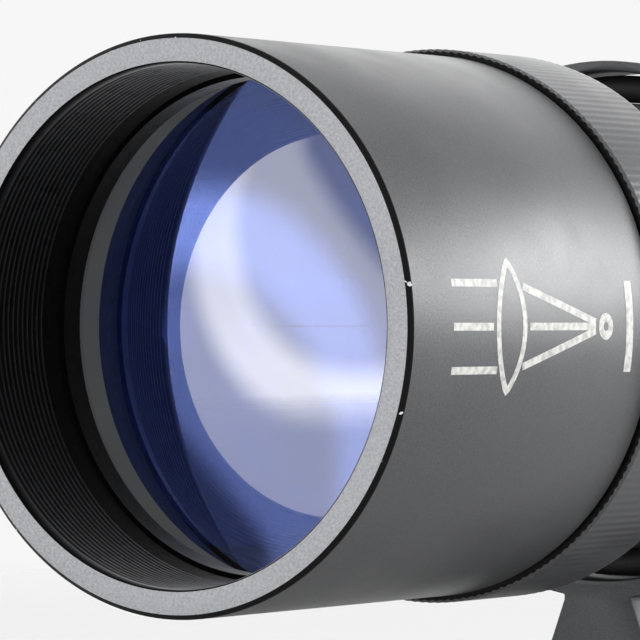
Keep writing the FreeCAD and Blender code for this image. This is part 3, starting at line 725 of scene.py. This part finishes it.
def build_holder_screw(side, sign):
    """Clamping thumbscrew of the camera holder: steel shank and a knurled black knob."""
    place = radial_frame((sign, 0, 1), CLAMP_AT)
    profile = outline(CLAMP_TIP) + spaced(CLAMP_RADIUS, CLAMP_THREAD, CLAMP_ROW_STEP)
    cut = thread(profile, len(CLAMP_TIP), len(profile) - 1, CLAMP_PITCH, CLAMP_THREAD_DEPTH)
    profile += outline(CLAMP_END)
    piece = lathe(f"{side}_clamp_shank", profile, [STEEL], None, place, CLAMP_SHANK_SEGMENTS, cut)
    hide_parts(f"{side}_holder_screw_shank")
    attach(piece, f"{side}_holder_shank")
    profile = outline(CLAMP_NECK)
    cut = knurl(CLAMP_TOOTH, CLAMP_TEETH, rim_teeth(len(profile)))
    profile += knob_rows(CLAMP_HEAD, CLAMP_HEAD_RADIUS, CLAMP_HEAD_EDGE, CLAMP_HEAD_DISH)
    knob = lathe(f"{side}_clamp_knob", profile, [KNURL], None, place, CLAMP_KNOB_SEGMENTS, cut)
    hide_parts(f"{side}_holder_screw_knob")
    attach(knob, f"{side}_holder_knob")


HOUSING_FRONT = ((1.85, 31.8), (3.9, 31.8))
HOUSING_RADIUS = 4.3 * MM
HOUSING_THREAD = (32.2 * MM, 39.8 * MM)
HOUSING_ROW_STEP = 0.12 * MM
HOUSING_PITCH = 0.75 * MM
HOUSING_THREAD_DEPTH = 0.25 * MM
HOUSING_SHOULDER = ((4.3, 40.2),)
HOUSING_HEAD = ((5.2, 40.2), (5.5, 40.5), (5.6, 40.9), (5.6, 43.0), (5.1, 43.4), (5.1, 43.9),
                (5.6, 44.3), (5.6, 46.2), (5.3, 46.7), (4.8, 47.0), (3.2, 47.0), (2.9, 46.5),
                (0.02, 46.5))
HOUSING_BANDS = (2, 3, 6, 7)
HOUSING_INSIDE = ((0.02, 45.0), (3.2, 45.0), (3.2, 33.0), (1.85, 33.0))
HOUSING_TEETH = 48
HOUSING_TOOTH = 0.25 * MM
HOUSING_SEGMENTS = 240


def build_plunger_housing():
    """Threaded barrel of the spring plunger with a knurled head and a closed cap."""
    profile = outline(HOUSING_FRONT) + spaced(HOUSING_RADIUS, HOUSING_THREAD, HOUSING_ROW_STEP)
    shaft_last = len(profile) - 1
    profile += outline(HOUSING_SHOULDER)
    bands = {len(profile) + row: 1.0 for row in HOUSING_BANDS}
    profile += outline(HOUSING_HEAD + HOUSING_INSIDE)
    piece = lathe("plunger_housing_turned", profile, [NICKEL], None,
                  radial_frame((0, 0, 1), RING_MIDDLE), HOUSING_SEGMENTS,
                  together(thread(profile, len(HOUSING_FRONT), shaft_last, HOUSING_PITCH,
                                  HOUSING_THREAD_DEPTH),
                           knurl(HOUSING_TOOTH, HOUSING_TEETH, bands)))
    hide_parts("plunger_housing")
    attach(piece, "bracket")


# ------------------------------------------------------------------ tube and focuser

# Outlines from here on are (radius, depth behind the front face), in millimetres.
TUBE_FRONT = ((24.3, 30.0), (26.5, 30.0), (26.9, 30.4))
COLLAR_RADIUS = 26.9 * MM
COLLAR_THREAD = (31.0 * MM, 63.2 * MM)
COLLAR_ROW_STEP = 0.14 * MM
COLLAR_PITCH = 1.0 * MM
COLLAR_THREAD_DEPTH = 0.42 * MM
TUBE_OUTSIDE = ((26.9, 63.5), (26.5, 64.0), (25.5, 64.0), (25.2, 64.3), (25.2, 100.0),
                (25.2, 149.7), (24.95, 150.0), (23.6, 150.0))
TUBE_INSIDE = ((23.6, 64.0), (24.3, 59.0))
TUBE_SEGMENTS = 240


def build_main_tube():
    """Tube with its threaded collar, which the lens barrel and the lock ring turn on."""
    outside, inside = range(2)
    profile = outline(TUBE_FRONT) + spaced(COLLAR_RADIUS, COLLAR_THREAD, COLLAR_ROW_STEP)
    cut = thread(profile, len(TUBE_FRONT), len(profile) - 1, COLLAR_PITCH, COLLAR_THREAD_DEPTH)
    profile += outline(TUBE_OUTSIDE)
    slots = [inside] * 2 + [outside] * (len(profile) - 3)
    profile += outline(TUBE_INSIDE)
    slots += [inside] * (len(profile) - len(slots))
    piece = lathe("main_tube_turned", profile, [TUBE, BAFFLE], slots, segments=TUBE_SEGMENTS,
                  radius_change=cut)
    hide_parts("main_tube")
    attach(piece, "tube")


def add_tick(points, faces, radius, turn, half_turn, depths, bend):
    """A painted patch that follows a cylinder round the optical axis; turn is 0 at the top."""
    first = len(points)
    for depth in depths:
        for i in range(bend + 1):
            angle = turn + half_turn * (2 * i / bend - 1)
            points.append((radius * math.sin(angle), FRONT + depth,
                           AXIS_Z + radius * math.cos(angle)))
    faces += [(first + i, first + i + 1, first + bend + 2 + i, first + bend + 1 + i)
              for i in range(bend)]


DRAW_OUTLINE = ((14.4, 143.2), (14.6, 143.0), (17.05, 143.0), (17.25, 143.2), (17.25, 186.0),
                (14.6, 186.0), (14.4, 185.8))
DRAW_RADIUS = 17.25 * MM
DRAW_SEGMENTS = 200
SCALE_START = 149.5 * MM
SCALE_MARKS = 31
SCALE_LINE_HALF = 0.09 * MM
SCALE_LONG_HALF = math.radians(9.0)
SCALE_SHORT_HALF = math.radians(5.0)
SCALE_BEND = 8
LONG_EVERY = 5


def build_draw_tube():
    """Sliding tube with a painted millimetre scale."""
    outside, inside = range(2)
    slots = [inside] + [outside] * 4 + [inside] * 2
    piece = lathe("draw_tube_turned", outline(DRAW_OUTLINE), [TUBE, BAFFLE], slots,
                  segments=DRAW_SEGMENTS)
    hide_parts("draw_tube")
    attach(piece, "draw_tube")
    points = []
    faces = []
    for mark in range(SCALE_MARKS):
        depth = SCALE_START + mark * MM
        half_turn = SCALE_SHORT_HALF if mark % LONG_EVERY else SCALE_LONG_HALF
        add_tick(points, faces, DRAW_RADIUS + PRINT_LIFT, 0.0, half_turn,
                 (depth - SCALE_LINE_HALF, depth + SCALE_LINE_HALF), SCALE_BEND)
    scale = make_object("draw_tube_scale", points, faces, [PRINT])
    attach(scale, "draw_tube")


HOLDER_OUTSIDE = ((17.3, 180.0), (19.6, 180.0), (20.0, 180.15), (20.85, 181.0), (21.0, 181.35),
                  (21.0, 207.55), (20.88, 207.85), (20.55, 208.0), (16.7, 208.0))
HOLDER_INSIDE = ((15.93, 207.3), (15.93, 200.0), (17.0, 200.0), (17.0, 194.0), (15.93, 194.0),
                 (15.93, 186.0), (17.3, 186.0))
HOLDER_SEGMENTS = 240


def build_camera_holder():
    """Holder pressed onto the draw tube's end, bored for a 1.25 inch barrel."""
    outside, inside = range(2)
    slots = [outside] * len(HOLDER_OUTSIDE) + [inside] * len(HOLDER_INSIDE)
    piece = lathe("camera_holder_turned", outline(HOLDER_OUTSIDE + HOLDER_INSIDE), [TUBE, BORE],
                  slots, segments=HOLDER_SEGMENTS)
    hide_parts("camera_holder")
    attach(piece, "draw_tube")


FOCUS_OUTLINE = ((17.3, 158.3), (19.97, 158.3), (19.97, 159.1), (19.0, 159.1), (19.0, 161.3),
                 (19.97, 161.3), (19.97, 162.3), (23.5, 162.3), (23.8, 162.45), (24.0, 162.8),
                 (24.0, 166.2), (23.55, 166.5), (23.55, 167.1), (24.0, 167.4), (24.0, 170.8),
                 (23.55, 171.1), (23.55, 173.4), (23.3, 173.9), (22.8, 174.3), (17.6, 174.3),
                 (17.3, 174.1))
FOCUS_BANDS = (9, 10, 13, 14)
FOCUS_TEETH = 120
FOCUS_TOOTH = 0.42 * MM
TICK_RADIUS = 23.55 * MM
TICK_START = 171.4 * MM
TICK_LENGTH = 1.7 * MM
TICK_SHORT = 0.6
TICK_WIDTH = 0.28 * MM
TICKS = 60
TICK_BEND = 3


def build_focus_ring():
    """Helical focuser's grip: two knurled bands, a groove and a ticked rear bevel."""
    piece = lathe("focus_grip", outline(FOCUS_OUTLINE), [KNURL], None, None,
                  FOCUS_TEETH * POINTS_PER_TOOTH,
                  knurl(FOCUS_TOOTH, FOCUS_TEETH, {row: 1.0 for row in FOCUS_BANDS}))
    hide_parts("focus_ring")
    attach(piece, "focus_ring")
    radius = TICK_RADIUS + PRINT_LIFT
    points = []
    faces = []
    for mark in range(TICKS):
        length = TICK_LENGTH * (TICK_SHORT if mark % LONG_EVERY else 1.0)
        add_tick(points, faces, radius, TAU * mark / TICKS, TICK_WIDTH / (2 * radius),
                 (TICK_START, TICK_START + length), TICK_BEND)
    marks = make_object("focus_ticks", points, faces, [PRINT])
    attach(marks, "focus_ring")


# ------------------------------------------------------------------ stage, light and camera

FLOOR_RADIUS = 0.46
FLOOR_FADE = (0.28, 0.44)
FLOOR_CORNERS = 96
FLOOR_LEVEL = 0.62


def build_stage():
    """A round pale floor whose rim fades into the white surroundings."""
    shader = Shader("floor_pale", Base_Color=grey(FLOOR_LEVEL), Roughness=0.7)
    distance = shader.add("ShaderNodeVectorMath", Vector=shader.place)
    distance.operation = "LENGTH"
    shader.drive("Alpha", shader.ramp(distance.outputs["Value"], *FLOOR_FADE, 1.0, 0.0))
    turns = [TAU * i / FLOOR_CORNERS for i in range(FLOOR_CORNERS)]
    rim = [(FLOOR_RADIUS * math.cos(turn), FLOOR_RADIUS * math.sin(turn), 0) for turn in turns]
    floor = make_object("floor", rim, [tuple(range(FLOOR_CORNERS))], [shader.material])


# Studio surroundings, in degrees: turn is 0 straight before the lens and grows to +X.
WHITE_WALLS = 0.93
ARC_MIDDLE = (-22.0, 14.0)
ARC_RADIUS = 22.8
ARC_WIDTH = (1.2, 4.5)
ARC_FADE = (-4.0, 14.0)
ARC_FADED = 0.5
ARC_POWER = 2.0
INSIDE_FADE = 4.0
INSIDE_POWER = 0.3
FLAG_CORNER = (-32.0, 17.0)
FLAG_SLOPE = 0.85
FLAG_EDGE_SOFT = (-2.0, 3.0)
FLAG_SIDE_SOFT = (-5.0, 1.0)
FLAG_MIDDLE = (-26.0, 20.0)
FLAG_REACH = ((12.0, 4.0), (14.0, 6.0))
FLAG_DARKNESS = 0.8
BACK_LAMP = ((-150.0, 24.0), (14.0, 8.0), (16.0, 10.0))
BACK_LAMP_POWER = 0.8
SIDE_LAMP = ((145.0, 12.0), (16.0, 6.0), (14.0, 7.0))
SIDE_LAMP_POWER = 8.5


def build_surroundings():
    """White walls with a curved light strip before the lens, a dark flag and two lamps."""
    world = bpy.context.scene.world or bpy.data.worlds.new("studio")
    bpy.context.scene.world = world
    sky = NodeTree(world, "Background", "Generated")
    split = sky.add("ShaderNodeSeparateXYZ", Vector=sky.place)
    x, y, z = split.outputs
    turn = sky.math("DEGREES", sky.math("ARCTAN2", x, sky.math("MULTIPLY", y, -1.0)))
    rise = sky.math("DEGREES", sky.math("ARCSINE", z))
    across = sky.math("SUBTRACT", turn, ARC_MIDDLE[0])
    up = sky.math("SUBTRACT", rise, ARC_MIDDLE[1])
    reach = sky.math("SQRT", sky.math("ADD", sky.math("MULTIPLY", across, across),
                                      sky.math("MULTIPLY", up, up)))
    strip = sky.math("MULTIPLY", sky.window(reach, ARC_RADIUS, *ARC_WIDTH),
                     sky.ramp(rise, *ARC_FADE, 1.0, ARC_FADED))
    inside = sky.ramp(reach, ARC_RADIUS - INSIDE_FADE, ARC_RADIUS, 1.0, 0.0, smooth=True)
    line = sky.math("ADD", sky.math("SUBTRACT", rise, FLAG_CORNER[1]),
                    sky.math("MULTIPLY", sky.math("SUBTRACT", turn, FLAG_CORNER[0]), FLAG_SLOPE))
    side_edge = [FLAG_CORNER[0] + soft for soft in FLAG_SIDE_SOFT]
    flag = sky.math("MULTIPLY", sky.ramp(line, *FLAG_EDGE_SOFT, smooth=True),
                    sky.ramp(turn, *side_edge, smooth=True))
    flag = sky.math("MULTIPLY", flag, sky.window(turn, FLAG_MIDDLE[0], *FLAG_REACH[0]))
    flag = sky.math("MULTIPLY", flag, sky.window(rise, FLAG_MIDDLE[1], *FLAG_REACH[1]))

    def lamp(place, half, soft):
        return sky.math("MULTIPLY", sky.window(turn, place[0], half[0], soft[0]),
                        sky.window(rise, place[1], half[1], soft[1]))
    level = sky.math("ADD", WHITE_WALLS, sky.math("MULTIPLY", strip, ARC_POWER))
    level = sky.math("ADD", level, sky.math("MULTIPLY", inside, INSIDE_POWER))
    level = sky.math("MULTIPLY", level, sky.ramp(flag, 0.0, 1.0, 1.0, 1.0 - FLAG_DARKNESS))
    level = sky.math("ADD", level, sky.math("MULTIPLY", lamp(*SIDE_LAMP), SIDE_LAMP_POWER))
    level = sky.math("ADD", level, sky.math("MULTIPLY", lamp(*BACK_LAMP), BACK_LAMP_POWER))
    sky.drive("Strength", level)
    sky.main.inputs["Color"].default_value = (1.0, 1.0, 1.0, 1)


FACE_CENTRE = Vector((0, FRONT, AXIS_Z))
SOFTBOX_PLACE = Vector((0.1, 0.15, 0.75))
SOFTBOX_SIZE = 0.4
SOFTBOX_POWER = 2


def aim(thing, direction):
    """Turns a lamp or a camera so that it looks along a direction."""
    thing.rotation_euler = direction.to_track_quat("-Z", "Y").to_euler()


def build_lights():
    """A soft lamp above the scope; the surroundings give the rest of the light."""
    light = bpy.data.lights.new("top_softbox", "AREA")
    light.shape = "RECTANGLE"
    light.size = SOFTBOX_SIZE
    light.size_y = SOFTBOX_SIZE
    light.energy = SOFTBOX_POWER
    lamp = bpy.data.objects.new("top_softbox", light)
    lamp.location = FACE_CENTRE + SOFTBOX_PLACE
    aim(lamp, -SOFTBOX_PLACE)
    bpy.context.scene.collection.objects.link(lamp)


# The photo's viewpoint: place from the face's centre, and the axis' turn from the line of sight.
CAMERA_PLACE = Vector((247.04 * MM, -314.93 * MM, 0.635 * MM))
CAMERA_TURN = math.radians(36.03)
CAMERA_LENS = 231.5
CAMERA_SENSOR = 36.0
CAMERA_NEAR = 0.01


def build_camera():
    camera = bpy.data.cameras.new("camera")
    camera.lens = CAMERA_LENS
    camera.sensor_width = CAMERA_SENSOR
    camera.clip_start = CAMERA_NEAR
    viewer = bpy.data.objects.new("camera", camera)
    viewer.location = FACE_CENTRE + CAMERA_PLACE
    aim(viewer, Vector((-math.sin(CAMERA_TURN), math.cos(CAMERA_TURN), 0)))
    bpy.context.scene.collection.objects.link(viewer)
    bpy.context.scene.camera = viewer
    bpy.context.scene.view_settings.view_transform = "Standard"


finish_cad_nodes()
build_front_barrel()
build_doublet()
build_lock_ring()
build_printed_mark()
for side, sign in (("left", -1), ("right", 1)):
    build_adjusting_screw(side, sign)
    build_holder_screw(side, sign)
build_plunger_housing()
build_main_tube()
build_draw_tube()
build_camera_holder()
build_focus_ring()
build_stage()
build_surroundings()
build_lights()
build_camera()
